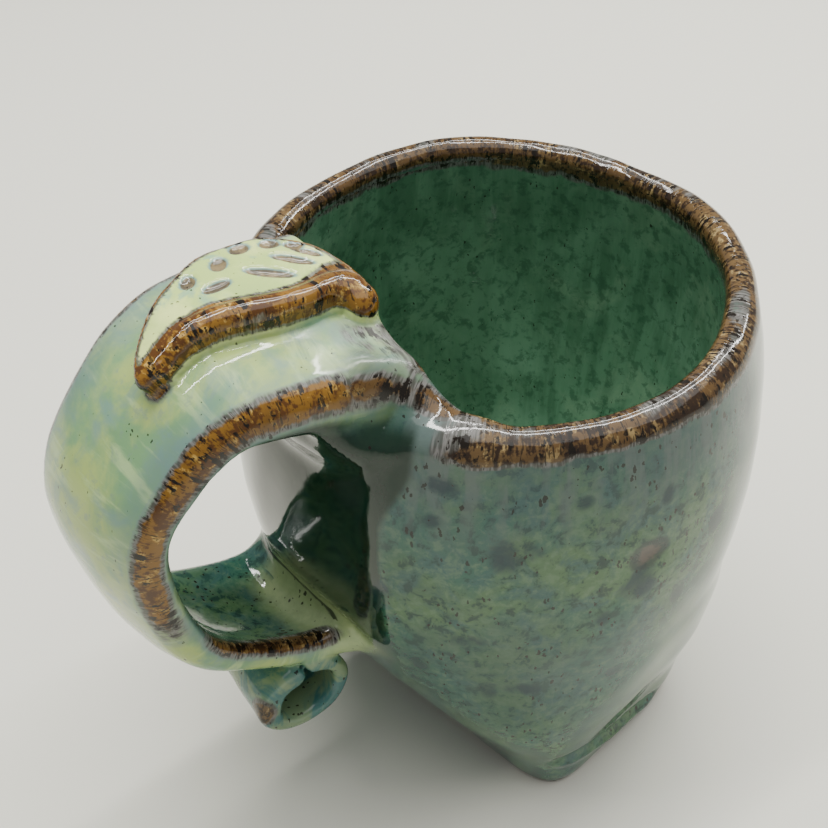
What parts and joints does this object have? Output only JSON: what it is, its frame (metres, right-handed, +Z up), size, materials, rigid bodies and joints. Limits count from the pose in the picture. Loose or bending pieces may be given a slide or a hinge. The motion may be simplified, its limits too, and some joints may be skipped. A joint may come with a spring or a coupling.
{
  "type": "mug",
  "caption": "Hand-built ceramic mug: round rim, small squared foot, wide strap handle folded over the rim, leaf thumb rest and curled tail.",
  "frame": {"origin": "on the table under the centre of the rim, in the foot's resting face", "axes": "+Z up; the handle points along -X and its middle plane is the XZ plane; -Y is the mug's front"},
  "size_m": [0.1328, 0.0969, 0.1162],
  "materials": {
    "body_glaze": "glossy mottled green glaze that breaks brown at the rim",
    "floor_glaze": "glossy mottled green glaze",
    "bare_clay": "matt unglazed dark stoneware",
    "handle_glaze": "glossy pale green glaze that breaks amber along the edges",
    "leaf_glaze": "glossy pale yellow-green glaze with an amber rolled edge",
    "curl_glaze": "glossy blue-green glaze",
    "join_glaze": "glossy pale green glaze"
  },
  "bodies": {
    "root": {"cup_wall": "body_glaze", "floor_slab": "floor_glaze", "foot": "bare_clay", "handle_strap": "handle_glaze", "leaf_rest": "leaf_glaze", "tail_curl": "curl_glaze", "upper_join": "join_glaze", "lower_join": "join_glaze"}
  },
  "joints": []
}
